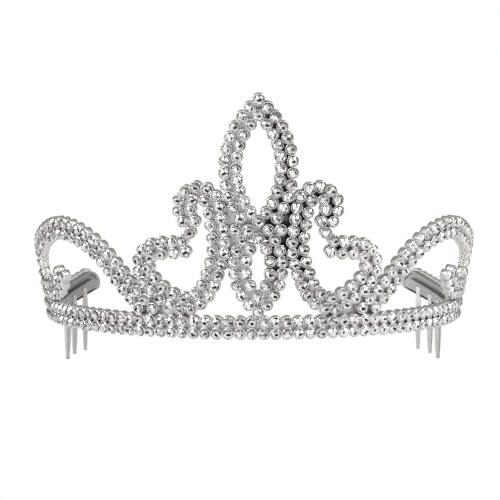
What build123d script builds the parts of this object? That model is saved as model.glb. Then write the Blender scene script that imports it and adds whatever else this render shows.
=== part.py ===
from build123d import *

import math
import os

# A tiara for an adult head: a double row of set stones bent into an open band, with a
# fleur-de-lis, two scrolls and two side loops standing on it, and a hair comb at each rear end.
#
# Millimetres. +Z is up and the front of the tiara faces -Y. The origin is the centre of the head
# circle, level with the lower edge of the band. Every strip lies on one flared shell, the head
# side of which is HEAD_RADIUS from the Z axis at the origin's height.
#
# Places on the shell are written (across, height): across is the arc length from the front centre,
# positive to the wearer's left (+X), measured on the head side at that height.

# Driving dimensions
HEAD_RADIUS = 59.0
FLARE = 10.0  # degrees that the shell leans out from the vertical
BEAD_PITCH = 3.45  # least distance from cup to cup along a row, at the height of the rims
INNER_PITCH = 3.6  # the same for a row on the inside of tight turns
ROW_GAP = 3.4  # between the two rows of a strip
CUP_RADIUS = 1.65
CUP_HEIGHT = 2.3  # head side of the plate to the rim of a cup
PLATE_THICKNESS = 1.0
DOUBLE_WIDTH = 5.2  # of the plate under two rows, which is narrower than the rows of cups
SINGLE_WIDTH = 2.6  # of the plate under one row

# Cups and stones
CUP_FOOT = 0.08  # each cup stands this far out of the head side of the plate
RIM_WIDTH = 0.2
SEAT_DEPTH = 0.4
STONE_RADIUS = 1.4
STONE_SIDES = 8
STONE_CLEARANCE = 0.02  # the film of glue under a stone
GIRDLE_HEIGHT = 0.55
STONE_TIERS = [(0.6, 25), (0.45, 50)]  # height of each ring of facets and its lean in degrees

# The plate of a strip is a chain of short flat links
LINK_PITCH = 2.0
BAND_LINK_PITCH = 3.3
LINK_OVERLAP = 1.3
LINK_STEP = 0.04  # neighbouring links are set in and out by this much

# Band
BAND_COLUMNS = 80
BAND_MIDDLE = CUP_RADIUS + ROW_GAP / 2
BAND_REACH = 132.0  # arc length from the front centre to the last column of cups
REAR_START = 92.0  # arc length where the rear ends begin to rise
REAR_RISE = 4.4

# Fleur-de-lis: each petal is bounded by two arcs that meet on the centre line
UPPER_PETAL_RADIUS = 24.1
UPPER_PETAL_OFFSET = 16.1  # the arc centres stand this far to the other side of the centre line
UPPER_PETAL_HEIGHT = 50.4
UPPER_PETAL_FOOT = 35.9  # where the outer row ends
UPPER_PETAL_PLATE_FOOT = 36.9
PETAL_INNER_PITCH = 3.4
LOWER_PETAL_RADIUS = 14.4
LOWER_PETAL_OFFSET = 9.25
LOWER_PETAL_HEIGHT = 21.2
LOWER_PETAL_TOP = 29.4
LOWER_PETAL_PLATE_TOP = 28.2
BINDING_HEIGHT = 32.4
BINDING_SPREAD = 2.4  # the binding's middle cups stand this far above and below it
BINDING_CUPS = (2.85, 6.35)

# Scrolls and loops, drawn on the wearer's left
SCROLL_LINE = [
    (19.8, 34.6),
    (20.4, 36.6),
    (21.5, 38.8),
    (20.6, 41.4),
    (17.0, 43.2),
    (13.5, 41.5),
    (12.3, 37.0),
    (11.5, 31.5),
    (11.3, 25.5),
    (12.9, 19.3),
    (15.8, 13.1),
    (20.6, 10.2),
    (26.0, 11.9),
    (31.8, 16.3),
    (34.1, 21.0),
    (32.2, 25.1),
    (27.5, 26.5),
    (21.3, 27.2),
]
SCROLL_TIP = (19.4, 31.3)  # the single cup that closes the curl
LOOP_LINE = [
    (34.5, 9.75),
    (40.1, 14.9),
    (49.4, 23.8),
    (60.3, 29.0),
    (72.0, 29.6),
    (82.5, 26.0),
    (91.0, 21.0),
    (93.4, 15.6),
    (88.5, 10.9),
    (81.1, 10.4),
    (73.9, 11.5),
    (70.4, 15.8),
]
LOOP_LEAD = (30.9, 8.5)  # the cup that leads the outer row down to the band

ARC_STEPS = 200

# Back plates, whose outlines are drawn in the front view
BACK_PLATE_THICKNESS = 0.8
BACK_PLATE_GAP = 0.02  # solder between the feet of the cups and a back plate
FLEUR_PLATE = [
    (0, 29.6),
    (3.5, 28.6),
    (6.0, 25.0),
    (7.5, 20.5),
    (10.8, 20.5),
    (10.6, 30.0),
    (11.0, 36.0),
    (9.5, 43.0),
    (7.8, 43.0),
    (4.2, 38.5),
    (0, 36.2),
]
FOOT_PLATE = [
    (19.5, 3.5),
    (34.0, 3.5),
    (35.0, 9.0),
    (31.5, 12.5),
    (26.0, 11.5),
    (19.5, 9.5),
]

# Combs: a tray on the head side of each rear end holds the spine of three teeth
TRAY_START = 98.0
TRAY_END = 130.5
TRAY_HEIGHT = 5.4
TRAY_DEPTH = 1.5
TRAY_FLOOR = 0.8
TRAY_GAP = 0.1  # solder between the feet of the cups and the tray
TRAY_RECESS_HEIGHT = 4.8
TRAY_RECESS_DROP = 0.5  # the recess opens through the lower edge, so the teeth can leave it
SPINE_START = 99.5
SPINE_END = 129.0
SPINE_HEIGHT = 2.6
SPINE_DROP = 0.6  # from the middle of the band to the middle of the spine
SPINE_DEPTH = 1.4
SPINE_CLEARANCE = 0.1
TOOTH_INSET = 2.65  # from the head side of the band to the middle of a tooth
TOOTH_TOP = 0.1  # above the middle of the band
TEETH = [(103.1, -14.1), (112.7, -13.6), (122.5, -13.3)]  # place across, and height of the tip
TOOTH_SECTIONS = [  # share of the length from the top, width and thickness
    (0.0, 1.9, 1.2),
    (0.45, 2.6, 2.0),
    (0.85, 1.7, 1.5),
    (1.0, 1.3, 1.1),
]


def shell_radius(height):
    """Distance from the Z axis to the head side of the shell."""
    return HEAD_RADIUS + height * math.tan(math.radians(FLARE))


def outward(across, height):
    """Direction square to the shell, away from the head."""
    angle = across / shell_radius(height)
    level = math.cos(math.radians(FLARE))
    return Vector(level * math.sin(angle), -level * math.cos(angle), -math.sin(math.radians(FLARE)))


def on_shell(across, height, lift=0.0):
    """The point at a place on the shell, or lift outside it."""
    radius = shell_radius(height)
    angle = across / radius
    foot = Vector(radius * math.sin(angle), -radius * math.cos(angle), height)
    return foot + outward(across, height) * lift


def seat(across, height, lift=0.0):
    """Location of a cup or stone: its Z axis points away from the head."""
    return Plane(origin=on_shell(across, height, lift), z_dir=outward(across, height)).location


def sampled(curve, steps=300):
    """A curve drawn in (across, height) as a list of such places."""
    return [tuple(curve @ (step / steps))[:2] for step in range(steps + 1)]


def beside(places, distance):
    """The line that runs at a distance to the left of a sampled one."""
    line = []
    for index, (across, height) in enumerate(places):
        before = places[max(index - 1, 0)]
        after = places[min(index + 1, len(places) - 1)]
        run, rise = after[0] - before[0], after[1] - before[1]
        length = math.hypot(run, rise)
        line.append((across - distance * rise / length, height + distance * run / length))
    return line


def spaced(places, pitch=BEAD_PITCH):
    """Places spread evenly over a sampled line, at the closest spacing that isn't under the pitch."""
    points = [on_shell(*place, lift=CUP_HEIGHT) for place in places]
    travelled = [0.0]
    for start, end in zip(points, points[1:]):
        travelled.append(travelled[-1] + (end - start).length)
    count = max(int(travelled[-1] / pitch), 1)
    chosen = []
    for number in range(count + 1):
        goal = travelled[-1] * number / count
        index = next(i for i in range(1, len(travelled)) if travelled[i] >= goal - 1e-6)
        part = (goal - travelled[index - 1]) / (travelled[index] - travelled[index - 1])
        (x0, z0), (x1, z1) = places[index - 1], places[index]
        chosen.append((x0 + part * (x1 - x0), z0 + part * (z1 - z0)))
    return chosen


def mirrored(places):
    """The same places on the other side of the front centre."""
    return [(-across, height) for across, height in places]


def make_cup():
    """A round cup, from its foot behind the plate to the rim around the stone."""
    with BuildPart() as cup:
        with BuildSketch(Plane.XZ):
            with BuildLine():
                Polyline(
                    (0, -CUP_FOOT),
                    (CUP_RADIUS, -CUP_FOOT),
                    (CUP_RADIUS, CUP_HEIGHT),
                    (CUP_RADIUS - RIM_WIDTH, CUP_HEIGHT),
                    (CUP_RADIUS - RIM_WIDTH, CUP_HEIGHT - SEAT_DEPTH),
                    (0, CUP_HEIGHT - SEAT_DEPTH),
                    close=True,
                )
            make_face()
        revolve(axis=Axis.Z)
    return cup.part


def make_stone():
    """A faceted stone with an eight-sided girdle, two tiers of facets and a flat table."""
    with BuildPart() as stone:
        with BuildSketch():
            RegularPolygon(STONE_RADIUS, STONE_SIDES)
        extrude(amount=GIRDLE_HEIGHT)
        for height, lean in STONE_TIERS:
            extrude(stone.faces().sort_by(Axis.Z)[-1], amount=height, taper=lean)
    return stone.part


CUP = make_cup()
STONE = make_stone()
STONE_LIFT = CUP_HEIGHT - SEAT_DEPTH + STONE_CLEARANCE


def write(name, part):
    """Write one piece of the tiara to its own file."""
    part.label = name
    export_step(part, f"parts/{name}.step", write_pcurves=False)


def plate_links(places, pitch):
    """Locations for the flat links of the plate under a sampled centre line."""
    stations = spaced(places, pitch)
    links = []
    for index, (start, end) in enumerate(zip(stations, stations[1:])):
        middle = ((start[0] + end[0]) / 2, (start[1] + end[1]) / 2)
        along = on_shell(*end) - on_shell(*start)
        lift = LINK_STEP * (index % 2)
        plane = Plane(origin=on_shell(*middle, lift=lift), x_dir=along, z_dir=outward(*middle))
        links.append(plane.location)
    return links


def make_strip(name, plates, cups, pitch=LINK_PITCH):
    """A setting strip: plates given as (centre line, width), and a cup at each place."""
    with BuildPart() as strip:
        for line, width in plates:
            with Locations(*plate_links(line, pitch)):
                Box(
                    pitch + LINK_OVERLAP,
                    width,
                    PLATE_THICKNESS,
                    align=(Align.CENTER, Align.CENTER, Align.MIN),
                )
        with Locations(*[seat(*place) for place in cups]):
            add(CUP)
    write(name, strip.part)


def make_stones(name, places):
    """A group of separate stones, one above each place."""
    with BuildPart() as stones:
        with Locations(*[seat(*place, lift=STONE_LIFT) for place in places]):
            add(STONE)
    write(name, stones.part)


def band_height(across):
    """Middle height of the band: level, then rising in a parabola towards each rear end."""
    rear = max(abs(across) - REAR_START, 0) / (BAND_REACH - REAR_START)
    return BAND_MIDDLE + REAR_RISE * rear**2


def band_line(start, end, steps):
    """The middle line of the band between two arc lengths."""
    places = []
    for step in range(steps + 1):
        across = start + (end - start) * step / steps
        places.append((across, band_height(across)))
    return places


def petal_arc(radius, offset, middle, top, bottom):
    """One side of a petal, from its top height to its bottom height, as a sampled line."""
    places = []
    high = math.asin((top - middle) / radius)
    low = math.asin((bottom - middle) / radius)
    for step in range(ARC_STEPS + 1):
        angle = high + (low - high) * step / ARC_STEPS
        places.append((radius * math.cos(angle) - offset, middle + radius * math.sin(angle)))
    return places


def petal_point(radius, offset, middle, side):
    """Height where the two arcs of a petal meet: side 1 is the upper point, -1 the lower one."""
    return middle + side * math.sqrt(radius**2 - offset**2)


def both_sides(places):
    """Places and their mirror images, with a place on the centre line kept once."""
    return places + [place for place in mirrored(places) if abs(place[0]) > CUP_RADIUS / 2]


os.makedirs("parts", exist_ok=True)

# ---- Band: two rows of cups on one plate that is open at the back ----
band_columns = band_line(-BAND_REACH, BAND_REACH, BAND_COLUMNS - 1)
band_upper_row = beside(band_columns, ROW_GAP / 2)
band_lower_row = beside(band_columns, -ROW_GAP / 2)
make_strip(
    "base_band", [(band_columns, DOUBLE_WIDTH)], band_upper_row + band_lower_row, BAND_LINK_PITCH
)
make_stones("band_upper_stones", band_upper_row)
make_stones("band_lower_stones", band_lower_row)

# ---- Fleur-de-lis: upper petal, lower petal and the binding across their crossing ----
upper = (UPPER_PETAL_OFFSET, UPPER_PETAL_HEIGHT)
outer_radius = UPPER_PETAL_RADIUS + ROW_GAP / 2
inner_radius = UPPER_PETAL_RADIUS - ROW_GAP / 2
upper_line = petal_arc(
    UPPER_PETAL_RADIUS, *upper, petal_point(UPPER_PETAL_RADIUS, *upper, 1), UPPER_PETAL_PLATE_FOOT
)
upper_outer_row = spaced(petal_arc(outer_radius, *upper, petal_point(outer_radius, *upper, 1), UPPER_PETAL_FOOT))
upper_inner_row = spaced(
    petal_arc(
        inner_radius, *upper, petal_point(inner_radius, *upper, 1), petal_point(inner_radius, *upper, -1)
    ),
    PETAL_INNER_PITCH,
)[:-1]
upper_outer_row = both_sides(upper_outer_row)
upper_inner_row = both_sides(upper_inner_row)
make_strip(
    "upper_petal",
    [(upper_line, DOUBLE_WIDTH), (mirrored(upper_line), DOUBLE_WIDTH)],
    upper_outer_row + upper_inner_row,
)
make_stones("upper_petal_outer_stones", upper_outer_row)
make_stones("upper_petal_inner_stones", upper_inner_row)

lower = (LOWER_PETAL_OFFSET, LOWER_PETAL_HEIGHT)
outer_radius = LOWER_PETAL_RADIUS + ROW_GAP / 2
inner_radius = LOWER_PETAL_RADIUS - ROW_GAP / 2
lower_line = petal_arc(
    LOWER_PETAL_RADIUS, *lower, LOWER_PETAL_PLATE_TOP, petal_point(LOWER_PETAL_RADIUS, *lower, -1)
)
lower_outer_row = spaced(petal_arc(outer_radius, *lower, LOWER_PETAL_TOP, petal_point(outer_radius, *lower, -1)))
lower_inner_row = spaced(
    petal_arc(
        inner_radius, *lower, petal_point(inner_radius, *lower, 1), petal_point(inner_radius, *lower, -1)
    ),
    INNER_PITCH,
)[1:]
lower_outer_row = both_sides(lower_outer_row)
lower_inner_row = both_sides(lower_inner_row)
make_strip(
    "lower_petal",
    [(lower_line, DOUBLE_WIDTH), (mirrored(lower_line), DOUBLE_WIDTH)],
    lower_outer_row + lower_inner_row,
)
make_stones("lower_petal_outer_stones", lower_outer_row)
make_stones("lower_petal_inner_stones", lower_inner_row)

binding_row = both_sides([(across, BINDING_HEIGHT) for across in BINDING_CUPS])
binding_post = [(0, BINDING_HEIGHT + BINDING_SPREAD), (0, BINDING_HEIGHT - BINDING_SPREAD)]
binding_line = [(-BINDING_CUPS[-1], BINDING_HEIGHT), (BINDING_CUPS[-1], BINDING_HEIGHT)]
make_strip(
    "fleur_binding",
    [(binding_line, SINGLE_WIDTH), (binding_post, SINGLE_WIDTH)],
    binding_row + binding_post,
)
make_stones("binding_stones", binding_row + binding_post)

# ---- Scrolls: a curl beside the petal, an arm down to the band and a hook behind it ----
scroll_line = sampled(Spline(*SCROLL_LINE))
scroll_tip_line = [SCROLL_TIP, scroll_line[0]]
scroll_outer_row = spaced(beside(scroll_line, -ROW_GAP / 2)) + [SCROLL_TIP]
scroll_inner_row = spaced(beside(scroll_line, ROW_GAP / 2), INNER_PITCH)

# ---- Side loops: from the band beside the scroll, over and down to the band at the side ----
loop_line = sampled(Spline(*LOOP_LINE))
loop_outer_row = [LOOP_LEAD] + spaced(beside(loop_line, ROW_GAP / 2))
loop_lead_line = loop_outer_row[:2]
loop_inner_row = spaced(beside(loop_line, -ROW_GAP / 2), INNER_PITCH)

for side, turned in (("left", list), ("right", mirrored)):
    outer, inner = turned(scroll_outer_row), turned(scroll_inner_row)
    plates = [(turned(scroll_line), DOUBLE_WIDTH), (turned(scroll_tip_line), SINGLE_WIDTH)]
    make_strip(f"scroll_{side}", plates, outer + inner)
    make_stones(f"scroll_{side}_outer_stones", outer)
    make_stones(f"scroll_{side}_inner_stones", inner)
    outer, inner = turned(loop_outer_row), turned(loop_inner_row)
    plates = [(turned(loop_line), DOUBLE_WIDTH), (turned(loop_lead_line), SINGLE_WIDTH)]
    make_strip(f"loop_{side}", plates, outer + inner)
    make_stones(f"loop_{side}_outer_stones", outer)
    make_stones(f"loop_{side}_inner_stones", inner)


# ---- Back plates: plain sheet behind the places where strips meet ----
def make_shell(lift_from, lift_to, top):
    """The whole conical sheet between two lifts, from the origin's height to the top."""
    inner = lift_from / math.cos(math.radians(FLARE))
    outer = lift_to / math.cos(math.radians(FLARE))
    with BuildPart() as shell:
        with BuildSketch(Plane.XZ):
            Polygon(
                (shell_radius(0) + inner, 0),
                (shell_radius(0) + outer, 0),
                (shell_radius(top) + outer, top),
                (shell_radius(top) + inner, top),
                align=None,
            )
        revolve(axis=Axis.Z)
    return shell.part


def make_back_plate(name, outline):
    """A sheet cut to an outline that is drawn in the front view."""
    lift = -CUP_FOOT - BACK_PLATE_GAP
    with BuildPart() as plate:
        with BuildSketch(Plane.XZ):
            Polygon(*outline, align=None)
        extrude(amount=2 * HEAD_RADIUS)
        add(make_shell(lift - BACK_PLATE_THICKNESS, lift, top=50), mode=Mode.INTERSECT)
    write(name, plate.part)


make_back_plate("fleur_back_plate", FLEUR_PLATE + mirrored(FLEUR_PLATE[-2:0:-1]))
make_back_plate("foot_plate_left", FOOT_PLATE)
make_back_plate("foot_plate_right", mirrored(FOOT_PLATE[::-1]))


# ---- Combs ----
def side_view(places, lift):
    """Places on the shell as (y, z) points."""
    points = [on_shell(*place, lift=lift) for place in places]
    return [(point.Y, point.Z) for point in points]


def make_bar(line, height, lift_from, lift_to):
    """A bar along a line on the left of the shell, with rounded ends, between two lifts."""
    lift = (lift_from + lift_to) / 2
    upper = side_view(beside(line, height / 2), lift)
    lower = side_view(beside(line, -height / 2), lift)
    start, end = (line[0][0] - height / 2, line[0][1]), (line[-1][0] + height / 2, line[-1][1])
    front, rear = side_view([start, end], lift)
    with BuildPart() as bar:
        with BuildSketch(Plane.YZ):
            with BuildLine():
                Spline(*upper)
                ThreePointArc(upper[-1], rear, lower[-1])
                Spline(*lower[::-1])
                ThreePointArc(lower[0], front, upper[0])
            make_face()
        extrude(amount=2 * HEAD_RADIUS)
        add(make_shell(lift_from, lift_to, top=20), mode=Mode.INTERSECT)
    return bar.part


def make_comb_seat():
    """The tray behind the left rear end of the band, with a rim along its top and round its ends."""
    tray_line = band_line(TRAY_START, TRAY_END, 12)
    recess_line = beside(tray_line, -TRAY_RECESS_DROP)
    top = -CUP_FOOT - TRAY_GAP
    recess = make_bar(recess_line, TRAY_RECESS_HEIGHT, top - 2 * TRAY_DEPTH, top - TRAY_FLOOR)
    with BuildPart() as tray:
        add(make_bar(tray_line, TRAY_HEIGHT, top - TRAY_DEPTH, top))
        add(recess, mode=Mode.SUBTRACT)
    return tray.part


def make_tooth(across, tip):
    """A flat spindle that hangs straight down, with a ridge down the middle of each face."""
    top = band_height(across) + TOOTH_TOP
    radius = shell_radius(top) - TOOTH_INSET
    angle = across / shell_radius(top)
    outwards = Vector(math.sin(angle), -math.cos(angle), 0)
    with BuildPart() as tooth:
        for share, width, thickness in TOOTH_SECTIONS:
            middle = outwards * radius + Vector(0, 0, top + share * (tip - top))
            with BuildSketch(Plane(origin=middle, x_dir=outwards, z_dir=(0, 0, 1))):
                Polygon((thickness / 2, 0), (0, width / 2), (-thickness / 2, 0), (0, -width / 2), align=None)
        loft()
    return tooth.part


def make_comb():
    """The spine and teeth of the left comb, in one piece."""
    spine_line = beside(band_line(SPINE_START, SPINE_END, 12), -SPINE_DROP)
    top = -CUP_FOOT - TRAY_GAP - TRAY_FLOOR - SPINE_CLEARANCE
    with BuildPart() as comb:
        add(make_bar(spine_line, SPINE_HEIGHT, top - SPINE_DEPTH, top))
        for across, tip in TEETH:
            add(make_tooth(across, tip))
    return comb.part


for name, part in (("comb_seat", make_comb_seat()), ("comb", make_comb())):
    write(f"{name}_left", part)
    write(f"{name}_right", mirror(part, about=Plane.YZ))
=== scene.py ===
import math
import random

import bmesh
import bpy
from mathutils import Matrix, Vector


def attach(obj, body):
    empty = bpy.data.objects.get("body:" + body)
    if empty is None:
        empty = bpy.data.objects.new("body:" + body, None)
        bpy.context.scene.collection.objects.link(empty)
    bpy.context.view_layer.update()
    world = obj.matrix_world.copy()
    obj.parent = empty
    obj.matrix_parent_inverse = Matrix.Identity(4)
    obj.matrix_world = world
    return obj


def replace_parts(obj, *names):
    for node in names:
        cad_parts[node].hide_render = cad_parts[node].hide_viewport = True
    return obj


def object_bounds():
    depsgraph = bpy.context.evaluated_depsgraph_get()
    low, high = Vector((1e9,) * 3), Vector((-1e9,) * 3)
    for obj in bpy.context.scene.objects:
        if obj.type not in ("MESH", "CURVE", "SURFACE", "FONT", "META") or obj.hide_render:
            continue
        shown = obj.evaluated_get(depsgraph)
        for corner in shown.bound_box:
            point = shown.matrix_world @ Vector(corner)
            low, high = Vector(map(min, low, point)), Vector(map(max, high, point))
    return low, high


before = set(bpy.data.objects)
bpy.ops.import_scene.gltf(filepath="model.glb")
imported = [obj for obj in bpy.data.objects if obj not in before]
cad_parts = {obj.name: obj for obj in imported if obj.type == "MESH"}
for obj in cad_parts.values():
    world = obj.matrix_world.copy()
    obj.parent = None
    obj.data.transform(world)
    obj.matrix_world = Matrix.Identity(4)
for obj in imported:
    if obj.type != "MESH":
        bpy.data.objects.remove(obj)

# The looks of a silver tiara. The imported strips, plates, trays and combs stay and get metal
# materials. Every packed stone is replaced by a cut stone with small facets, and gets a rounded
# bezel round it. Metres throughout; +Z is up and the front faces -Y.

MM = 0.001
CAD_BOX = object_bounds()
FLARE = math.radians(10)  # the shell that carries the strips leans outwards by this much

# Stone: rings of corners as (radius, height above the base, turn as a share of a side). The radii
# and heights here, and those of the bezel, are in millimetres.
STONE_SIDES = 8
STONE_RINGS = [
    (1.50, 0.00, 0.0),
    (1.56, 0.45, 0.0),
    (1.34, 0.92, 0.5),
    (0.92, 1.26, 0.0),
    (0.45, 1.44, 0.5),
]
MOST_STONE_TURN = 0.35  # radians that a stone may be turned in its bezel, either way

# Bezel: outline of its section as (radius, height above the stone's base)
BEZEL_SECTION = [
    (1.50, -1.80),
    (1.70, -1.80),
    (1.74, -0.90),
    (1.80, -0.10),
    (1.82, 0.20),
    (1.77, 0.44),
    (1.67, 0.54),
    (1.56, 0.46),
    (1.52, 0.20),
]
BEZEL_SIDES = 28

# Tones of the facets, from 0 for black to 1 for white, are painted reflections and painted light and shade.
# The facets have levels: 0 is the girdle, 1 to 3 are the rings of facets above it, and 4 is the table.
TABLE_LEVEL = 4
PAINTED_LIT_TONES = {1: 0.9, 2: 1.0, 3: 1.0}  # painted light by level, for the facets that face the light
# painted shade by level, for the facets turned from the light
PAINTED_SHADED_TONES = {1: 0.55, 2: 0.7, 3: 0.9}
PAINTED_SHADE_EDGE = -0.25  # how far a facet may turn from the light before it gets painted shade
TONE_STEPS = [0.3, 0.7, 0.85, 1.0, 1.0]  # a facet's painted tone is multiplied by one of these
# painted reflections in the table and the girdle, picked at random
TABLE_TONES = [0.25, 0.6, 0.95, 1.0]
GIRDLE_TONES = (0.65, 1.0)
# The painted dark reflection in each stone: its tones, its size, its reach and its angles.
DARK_REFLECTION_TONES = (0.0, 0.05)
DARK_REFLECTION_SIZE = 0.43  # millimetres from the middle of the painted dark reflection to its edge
DARK_REFLECTION_REACH = (0.25, 0.6)  # millimetres from the middle of the stone to that of its painted dark reflection
FRONT_WIDTH = 24 * MM  # the stones nearer to the centre than this count as the front ones
FRONT_DARK_REFLECTION_ANGLES = (math.radians(-50), math.radians(40))  # from the sideways axis
SIDE_DARK_REFLECTION_ANGLES = (math.radians(150), math.radians(260))
PAINTED_SHADE_ARC_SHARE = 0.35  # of the facets of level 1 beyond ARC_START that get nearly black painted shade
ARC_START = 0.6  # millimetres sideways from the middle of the stone
PAINTED_SHADE_ARC_TONES = (0.05, 0.25)
PAINTED_GLARE_START = 24 * MM  # the stones beyond this on the wearer's left face the lamp and get a painted glare
PAINTED_GLARE = 0.5

# Where the painted shade in the gaps of the plating turns dark. Each pair starts where it is still pale.
PAINTED_SHADE_ACROSS = (-2 * MM, 3 * MM)
PAINTED_SHADE_END = (30 * MM, 24 * MM)
PAINTED_SHADE_HEIGHT = (13 * MM, 20 * MM)

STONE_NODES = [
    "band_upper_stones",
    "band_lower_stones",
    "upper_petal_outer_stones",
    "upper_petal_inner_stones",
    "lower_petal_outer_stones",
    "lower_petal_inner_stones",
    "binding_stones",
    "scroll_left_outer_stones",
    "scroll_left_inner_stones",
    "scroll_right_outer_stones",
    "scroll_right_inner_stones",
    "loop_left_outer_stones",
    "loop_left_inner_stones",
    "loop_right_outer_stones",
    "loop_right_inner_stones",
]
SATIN_NODES = ["comb_left", "comb_right", "comb_seat_left", "comb_seat_right"]

random.seed(11)


# ---- Node helpers ----
def new_material(name):
    """An empty node material: its node tree and its output node."""
    material = bpy.data.materials.new(name)
    material.use_nodes = True
    tree = material.node_tree
    tree.nodes.clear()
    output = tree.nodes.new("ShaderNodeOutputMaterial")
    return material, tree, output


def node(tree, kind, links=None, **values):
    """A shader node with its properties and inputs set, and its inputs linked."""
    made = tree.nodes.new(kind)
    for key, value in values.items():
        if hasattr(made, key):
            setattr(made, key, value)
        else:
            made.inputs[key.replace("_", " ")].default_value = value
    for socket, source in (links or {}).items():
        tree.links.new(source, made.inputs[socket])
    return made


def ramp(tree, source, stops):
    """A colour ramp from (place, colour) stops."""
    made = tree.nodes.new("ShaderNodeValToRGB")
    while len(made.color_ramp.elements) < len(stops):
        made.color_ramp.elements.new(0.5)
    for element, (place, colour) in zip(made.color_ramp.elements, stops):
        element.position = place
        element.color = (*colour, 1)
    tree.links.new(source, made.inputs["Fac"])
    return made.outputs["Color"]


def fade(tree, value, low, high):
    """0 at low and 1 at high, even steps between, and no further change beyond either."""
    made = node(tree, "ShaderNodeMapRange", {"Value": value})
    made.inputs["From Min"].default_value = low
    made.inputs["From Max"].default_value = high
    return made.outputs["Result"]


def product(tree, first, second):
    """One value times another."""
    return node(tree, "ShaderNodeMath", {0: first, 1: second}, operation="MULTIPLY").outputs["Value"]


def colour_product(tree, first, second):
    """One colour times another."""
    made = node(tree, "ShaderNodeMix", data_type="RGBA", blend_type="MULTIPLY")
    made.inputs["Factor"].default_value = 1.0
    tree.links.new(first, made.inputs["A"])
    tree.links.new(second, made.inputs["B"])
    return made.outputs["Result"]


def grey(level):
    """A colour without a hue."""
    return (level, level, level)


# ---- Materials ----
def plated_metal(name, tint, pale, dark, gap_range, metallic, roughness_range):
    """Bright plating with pits and uneven polish.

    Its gaps get painted shade: pale, but dark above the band on the wearer's left, as far out as the scroll
    reaches. gap_range gives the openness at which the painted gap shade is fullest and at which it ends.
    """
    material, tree, output = new_material(name)
    place = node(tree, "ShaderNodeNewGeometry").outputs["Position"]
    blotches = node(tree, "ShaderNodeTexNoise", {"Vector": place}, Scale=160.0, Detail=4.0)
    pits = node(tree, "ShaderNodeTexNoise", {"Vector": place}, Scale=2600.0, Detail=2.0)
    # painted shade: ambient occlusion darkens the gaps toward the gap colour
    gap_shade = node(tree, "ShaderNodeAmbientOcclusion", samples=6, Distance=2.2 * MM)
    open_share = fade(tree, gap_shade.outputs["AO"], *gap_range)
    parts = node(tree, "ShaderNodeSeparateXYZ", {"Vector": place})
    # painted shade: the gap colour turns dark on the wearer's left, above the band
    left_share = fade(tree, parts.outputs["X"], *PAINTED_SHADE_ACROSS)
    near_share = fade(tree, parts.outputs["X"], *PAINTED_SHADE_END)
    high_share = fade(tree, parts.outputs["Z"], *PAINTED_SHADE_HEIGHT)
    painted_shade_share = product(tree, product(tree, left_share, near_share), high_share)
    painted_gap_shade = ramp(tree, painted_shade_share, [(0.0, pale), (1.0, dark)])
    colour = node(tree, "ShaderNodeMix", {"Factor": open_share}, data_type="RGBA")
    tree.links.new(painted_gap_shade, colour.inputs["A"])
    colour.inputs["B"].default_value = (*tint, 1)
    roughness = node(tree, "ShaderNodeMapRange", {"Value": blotches.outputs["Fac"]})
    roughness.inputs["From Min"].default_value = 0.3
    roughness.inputs["From Max"].default_value = 0.7
    roughness.inputs["To Min"].default_value = roughness_range[0]
    roughness.inputs["To Max"].default_value = roughness_range[1]
    bump = node(tree, "ShaderNodeBump", {"Height": pits.outputs["Fac"]}, Strength=0.12, Distance=0.02 * MM)
    metal = node(
        tree,
        "ShaderNodeBsdfPrincipled",
        {
            "Base Color": colour.outputs["Result"],
            "Roughness": roughness.outputs["Result"],
            "Normal": bump.outputs["Normal"],
        },
        Metallic=metallic,
    )
    tree.links.new(metal.outputs["BSDF"], output.inputs["Surface"])
    return material


def satin_metal(name):
    """The combs' plating: a soft grain along the teeth, with painted shade in the corners and on faces
    toward +X.
    """
    material, tree, output = new_material(name)
    surface = node(tree, "ShaderNodeNewGeometry")
    along = node(
        tree, "ShaderNodeMapping", {"Vector": surface.outputs["Position"]}, Scale=(3000.0, 3000.0, 160.0)
    )
    grain = node(tree, "ShaderNodeTexNoise", {"Vector": along.outputs["Vector"]}, Scale=1.0, Detail=3.0)
    # painted shade: the colour darkens in the corners that ambient occlusion finds
    gap_shade = node(tree, "ShaderNodeAmbientOcclusion", samples=6, Distance=1.6 * MM)
    colour = ramp(
        tree,
        gap_shade.outputs["AO"],
        [(0.1, (0.05, 0.045, 0.04)), (0.5, (0.50, 0.495, 0.485)), (0.95, (0.78, 0.775, 0.765))],
    )
    # painted shade on the faces toward +X
    facing = node(tree, "ShaderNodeSeparateXYZ", {"Vector": surface.outputs["Normal"]})
    turned = fade(tree, facing.outputs["X"], -0.9, 0.9)
    painted_side_shade = ramp(tree, turned, [(0.0, grey(1.0)), (1.0, grey(0.66))])
    bump = node(tree, "ShaderNodeBump", {"Height": grain.outputs["Fac"]}, Strength=0.25, Distance=0.03 * MM)
    metal = node(
        tree,
        "ShaderNodeBsdfPrincipled",
        {"Base Color": colour_product(tree, colour, painted_side_shade), "Normal": bump.outputs["Normal"]},
        Metallic=1.0,
        Roughness=0.36,
    )
    tree.links.new(metal.outputs["BSDF"], output.inputs["Surface"])
    return material


def foil_stone(name):
    """Foil-backed glass: each facet carries painted light, shade and reflections as its colour, under a
    clear polish.
    """
    material, tree, output = new_material(name)
    # the painted light, shade and reflections of each facet
    painted_facet_light = node(tree, "ShaderNodeAttribute", attribute_name="painted_facet_light")
    stone = node(
        tree,
        "ShaderNodeBsdfPrincipled",
        {"Base Color": painted_facet_light.outputs["Color"]},
        Metallic=1.0,
        Roughness=0.05,
    )
    stone.inputs["Coat Weight"].default_value = 0.35
    stone.inputs["Coat Roughness"].default_value = 0.02
    tree.links.new(stone.outputs["BSDF"], output.inputs["Surface"])
    return material


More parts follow.
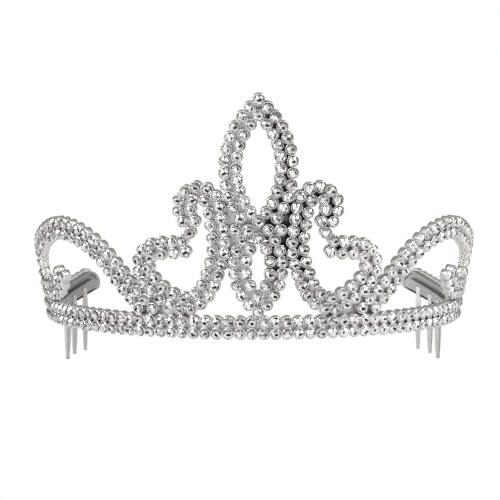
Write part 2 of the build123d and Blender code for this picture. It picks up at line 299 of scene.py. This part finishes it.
# ---- Where the stones are ----
def islands(mesh):
    """The corners of each connected part of a mesh."""
    seen = set()
    found = []
    for first in mesh.verts:
        if first in seen:
            continue
        seen.add(first)
        corners = []
        edge = [first]
        while edge:
            vert = edge.pop()
            corners.append(vert.co.copy())
            for link in vert.link_edges:
                other = link.other_vert(vert)
                if other not in seen:
                    seen.add(other)
                    edge.append(other)
        found.append(corners)
    return found


def stone_site(corners):
    """A packed stone's matrix: its origin is the middle of the base, and +Z points off the head."""
    middle = sum(corners, Vector()) / len(corners)
    angle = math.atan2(middle.x, -middle.y)
    across = math.cos(FLARE)
    outward = Vector((across * math.sin(angle), -across * math.cos(angle), -math.sin(FLARE)))
    base = min((corner - middle).dot(outward) for corner in corners)
    turn = outward.to_track_quat("Z", "Y").to_matrix().to_4x4()
    return Matrix.Translation(middle + outward * base) @ turn


def stone_sites(node_name):
    """A matrix for each stone of a packed row, in order of its place."""
    mesh = bmesh.new()
    mesh.from_mesh(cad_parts[node_name].data)
    bmesh.ops.remove_doubles(mesh, verts=mesh.verts, dist=0.001 * MM)
    sites = [stone_site(corners) for corners in islands(mesh)]
    mesh.free()
    sites.sort(key=lambda site: (round(site.translation.x, 6), round(site.translation.z, 6)))
    return sites


# ---- Stones and bezels ----
def ring_corners(radius, height, shift, sides):
    """The corners of a level ring, turned by a share of a side."""
    corners = []
    for side in range(sides):
        angle = (side + shift) * math.tau / sides
        corners.append(Vector((radius * math.cos(angle), radius * math.sin(angle), height)) * MM)
    return corners


def paint_facet_light(level, sideways, upwards, dark_reflection, glare):
    """Painted light and shade of a facet from where it sits on the stone, and from where the stone's
    painted dark reflection is.

    sideways is toward the wearer's left on a stone at the front. The painted light comes from below and
    from the other side. glare is a painted highlight that brings the tones of a stone that faces the lamp
    closer to white.
    """
    reach = math.hypot(sideways, upwards)
    toward_light = -(sideways + 2 * upwards) / max(reach, 0.001) / math.sqrt(5)
    from_dark_reflection = math.hypot(sideways - dark_reflection[0], upwards - dark_reflection[1])
    # painted dark reflection
    if level > 1 and from_dark_reflection < DARK_REFLECTION_SIZE:
        return random.uniform(*DARK_REFLECTION_TONES)
    # painted shade, nearly black, on the side away from the light
    if level == 1 and sideways > ARC_START and random.random() < PAINTED_SHADE_ARC_SHARE:
        return random.uniform(*PAINTED_SHADE_ARC_TONES)
    if level == TABLE_LEVEL:
        return random.choice(TABLE_TONES)
    if level == 0:
        return random.uniform(*GIRDLE_TONES)
    # painted light on the facets that face the light, painted shade on the rest
    shade = PAINTED_LIT_TONES[level] if toward_light > PAINTED_SHADE_EDGE else PAINTED_SHADED_TONES[level]
    shade *= random.choice(TONE_STEPS)
    # painted glare
    return shade + (1 - shade) * glare


def stone_facets(rings):
    """The faces of a cut stone as (level, corners): quads between rings turned alike, else triangles."""
    facets = []
    for level, (low, high) in enumerate(zip(rings, rings[1:])):
        shift = STONE_RINGS[level + 1][2] - STONE_RINGS[level][2]
        for side in range(STONE_SIDES):
            after = (side + 1) % STONE_SIDES
            if shift == 0:
                facets.append((level, [low[side], low[after], high[after], high[side]]))
            elif shift > 0:
                facets.append((level, [low[side], low[after], high[side]]))
                facets.append((level, [low[after], high[after], high[side]]))
            else:
                facets.append((level, [low[side], low[after], high[after]]))
                facets.append((level, [low[side], high[after], high[side]]))
    facets.append((TABLE_LEVEL, rings[-1]))
    facets.append((0, rings[0][::-1]))
    return facets


def add_stone(mesh, site):
    """One cut stone, with painted light, shade and reflections for each facet."""
    turn = Matrix.Rotation(random.uniform(-MOST_STONE_TURN, MOST_STONE_TURN), 4, "Z")
    rings = []
    for radius, height, shift in STONE_RINGS:
        corners = ring_corners(radius, height, shift, STONE_SIDES)
        rings.append([mesh.verts.new(site @ turn @ corner) for corner in corners])
    origin = site.translation
    # where the painted dark reflection sits on this stone
    dark_reflection_angles = FRONT_DARK_REFLECTION_ANGLES if abs(origin.x) < FRONT_WIDTH else SIDE_DARK_REFLECTION_ANGLES
    dark_reflection_angle = random.uniform(*dark_reflection_angles)
    dark_reflection_reach = random.uniform(*DARK_REFLECTION_REACH)
    dark_reflection = (dark_reflection_reach * math.cos(dark_reflection_angle), dark_reflection_reach * math.sin(dark_reflection_angle))
    # painted glare on the stones that face the lamp
    glare = PAINTED_GLARE if origin.x > PAINTED_GLARE_START else 0
    outward = site.to_3x3() @ Vector((0, 0, 1))
    sideways = Vector((-outward.y, outward.x, 0)).normalized()
    upwards = outward.cross(sideways)
    # each face stores the painted light of its facet
    layer = mesh.faces.layers.float_color["painted_facet_light"]
    for level, corners in stone_facets(rings):
        offset = sum((corner.co for corner in corners), Vector()) / len(corners) - origin
        painted_facet_light = paint_facet_light(level, offset.dot(sideways) / MM, offset.dot(upwards) / MM, dark_reflection, glare)
        mesh.faces.new(corners)[layer] = (*grey(painted_facet_light), 1)


def add_bezel(mesh, site):
    """A rounded sleeve round the cup that ends in the lip that holds the stone."""
    rings = []
    for radius, height in BEZEL_SECTION:
        corners = ring_corners(radius, height, 0, BEZEL_SIDES)
        rings.append([mesh.verts.new(site @ corner) for corner in corners])
    rings.append(rings[0])
    for low, high in zip(rings, rings[1:]):
        for side in range(BEZEL_SIDES):
            after = (side + 1) % BEZEL_SIDES
            mesh.faces.new([low[side], low[after], high[after], high[side]]).smooth = True


def piece(name, mesh, material):
    """A finished piece that rides on the tiara's only body."""
    bmesh.ops.recalc_face_normals(mesh, faces=mesh.faces)
    data = bpy.data.meshes.new(name)
    mesh.to_mesh(data)
    mesh.free()
    data.materials.append(material)
    made = bpy.data.objects.new(name, data)
    bpy.context.collection.objects.link(made)
    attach(made, "root")
    return made


# ---- Pieces: cut stones for the imported ones, a bezel for every cup, and metal for the rest ----
# Both platings carry painted shade in their gaps: pale, and dark above the band on the wearer's left.
SILVER = plated_metal(
    "silver_plating",
    tint=(0.88, 0.87, 0.85),
    pale=(0.44, 0.435, 0.43),
    dark=(0.08, 0.07, 0.065),
    gap_range=(0.12, 0.62),
    metallic=0.9,
    roughness_range=(0.08, 0.20),
)
STRIP = plated_metal(
    "strip_plating",
    tint=(0.80, 0.795, 0.785),
    pale=(0.66, 0.655, 0.645),
    dark=(0.02, 0.012, 0.008),
    gap_range=(0.6, 1.0),
    metallic=0.4,
    roughness_range=(0.30, 0.45),
)
SATIN = satin_metal("comb_plating")
STONE = foil_stone("foil_backed_stone")

for stones in STONE_NODES:
    cut = bmesh.new()
    cut.faces.layers.float_color.new("painted_facet_light")
    bezels = bmesh.new()
    for site in stone_sites(stones):
        add_stone(cut, site)
        add_bezel(bezels, site)
    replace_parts(piece(stones + "_cut", cut, STONE), stones)
    piece(stones.replace("_stones", "_bezels"), bezels, SILVER)

for name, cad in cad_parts.items():
    if name in STONE_NODES:
        continue
    cad.data.materials.clear()
    cad.data.materials.append(SATIN if name in SATIN_NODES else STRIP)


# ---- Stage ----
FLOOR_SIZE = 40.0
FLOOR_DROP = 0.0002  # from the tips of the teeth to the floor
FLOOR_HEIGHT = CAD_BOX[0].z - FLOOR_DROP
CARD_SIZE = 0.16
CARD_PLACE = (0.16, -0.30, FLOOR_HEIGHT + 0.001)


def stage_plane(name, size, place, material):
    """A level square of the stage."""
    mesh = bmesh.new()
    bmesh.ops.create_grid(mesh, x_segments=1, y_segments=1, size=size / 2)
    data = bpy.data.meshes.new(name)
    mesh.to_mesh(data)
    mesh.free()
    data.materials.append(material)
    made = bpy.data.objects.new(name, data)
    made.location = place
    bpy.context.collection.objects.link(made)
    return made


def floor_material():
    """Pale paper that lights the tiara from below. The camera sees it as plain white."""
    material, tree, output = new_material("floor_paper")
    paper = node(tree, "ShaderNodeBsdfDiffuse", Color=(0.80, 0.80, 0.80, 1))
    glow = node(tree, "ShaderNodeEmission", Color=(1, 1, 1, 1), Strength=1.0)
    path = node(tree, "ShaderNodeLightPath")
    mix = node(
        tree,
        "ShaderNodeMixShader",
        {"Fac": path.outputs["Is Camera Ray"], 1: paper.outputs["BSDF"], 2: glow.outputs["Emission"]},
    )
    tree.links.new(mix.outputs["Shader"], output.inputs["Surface"])
    return material


def black_card_material():
    """Black felt, for a dark reflection in the metal and the stones."""
    material, tree, output = new_material("black_card")
    felt = node(tree, "ShaderNodeBsdfDiffuse", Color=(0.01, 0.01, 0.01, 1))
    tree.links.new(felt.outputs["BSDF"], output.inputs["Surface"])
    return material


stage_plane("floor", FLOOR_SIZE, (0, 0, FLOOR_HEIGHT), floor_material())

card = stage_plane("card_0", CARD_SIZE, CARD_PLACE, black_card_material())
card.visible_camera = False
card.visible_shadow = False
card.visible_diffuse = False


def build_world():
    """White round the front and the sides, warm grey high up and behind."""
    world = bpy.data.worlds.new("studio")
    bpy.context.scene.world = world
    world.use_nodes = True
    tree = world.node_tree
    tree.nodes.clear()
    output = tree.nodes.new("ShaderNodeOutputWorld")
    direction = node(tree, "ShaderNodeTexCoord").outputs["Generated"]
    parts = node(tree, "ShaderNodeSeparateXYZ", {"Vector": direction})
    height = ramp(
        tree,
        parts.outputs["Z"],
        [(0.0, grey(1.0)), (0.30, grey(1.0)), (0.55, (0.52, 0.51, 0.495)), (1.0, (0.72, 0.71, 0.70))],
    )
    depth = fade(tree, parts.outputs["Y"], -0.2, 0.5)
    behind = ramp(tree, depth, [(0.0, grey(1.0)), (1.0, (0.38, 0.37, 0.355))])
    colour = colour_product(tree, height, behind)
    light = node(tree, "ShaderNodeBackground", {"Color": colour}, Strength=1.0)
    tree.links.new(light.outputs["Background"], output.inputs["Surface"])


build_world()


def add_area(name, place, size, power):
    """A soft square lamp that points at the tiara."""
    lamp = bpy.data.lights.new(name, "AREA")
    lamp.size = size
    lamp.energy = power
    made = bpy.data.objects.new(name, lamp)
    made.location = place
    made.rotation_mode = "QUATERNION"
    made.rotation_quaternion = Vector(place).to_track_quat("Z", "Y")
    bpy.context.collection.objects.link(made)


add_area("softbox_left", (-0.9, -0.8, 0.7), size=0.6, power=12)
add_area("softbox_right", (0.9, -0.6, 0.9), size=0.5, power=8)

# ---- Camera: the front of the tiara, seen from slightly above ----
CAMERA_AIM = Vector((0, -0.0621, 0))
CAMERA_DISTANCE = 1.450
CAMERA_ELEVATION = math.radians(6.5)
CAMERA_AZIMUTH = math.radians(1.2)
camera_data = bpy.data.cameras.new("camera")
camera_data.sensor_width = 36
camera_data.lens = 360
camera_data.shift_x = -0.007
camera_data.shift_y = 0.1776
camera_data.clip_end = 100
camera = bpy.data.objects.new("camera", camera_data)
bpy.context.collection.objects.link(camera)
back = Vector((0, -math.cos(CAMERA_ELEVATION), math.sin(CAMERA_ELEVATION)))
turn = Matrix.Rotation(-CAMERA_AZIMUTH, 3, "Z")
camera.location = turn @ (CAMERA_AIM + back * CAMERA_DISTANCE)
camera.rotation_euler = (math.pi / 2 - CAMERA_ELEVATION, 0, -CAMERA_AZIMUTH)
bpy.context.scene.camera = camera
bpy.context.scene.view_settings.view_transform = "Standard"
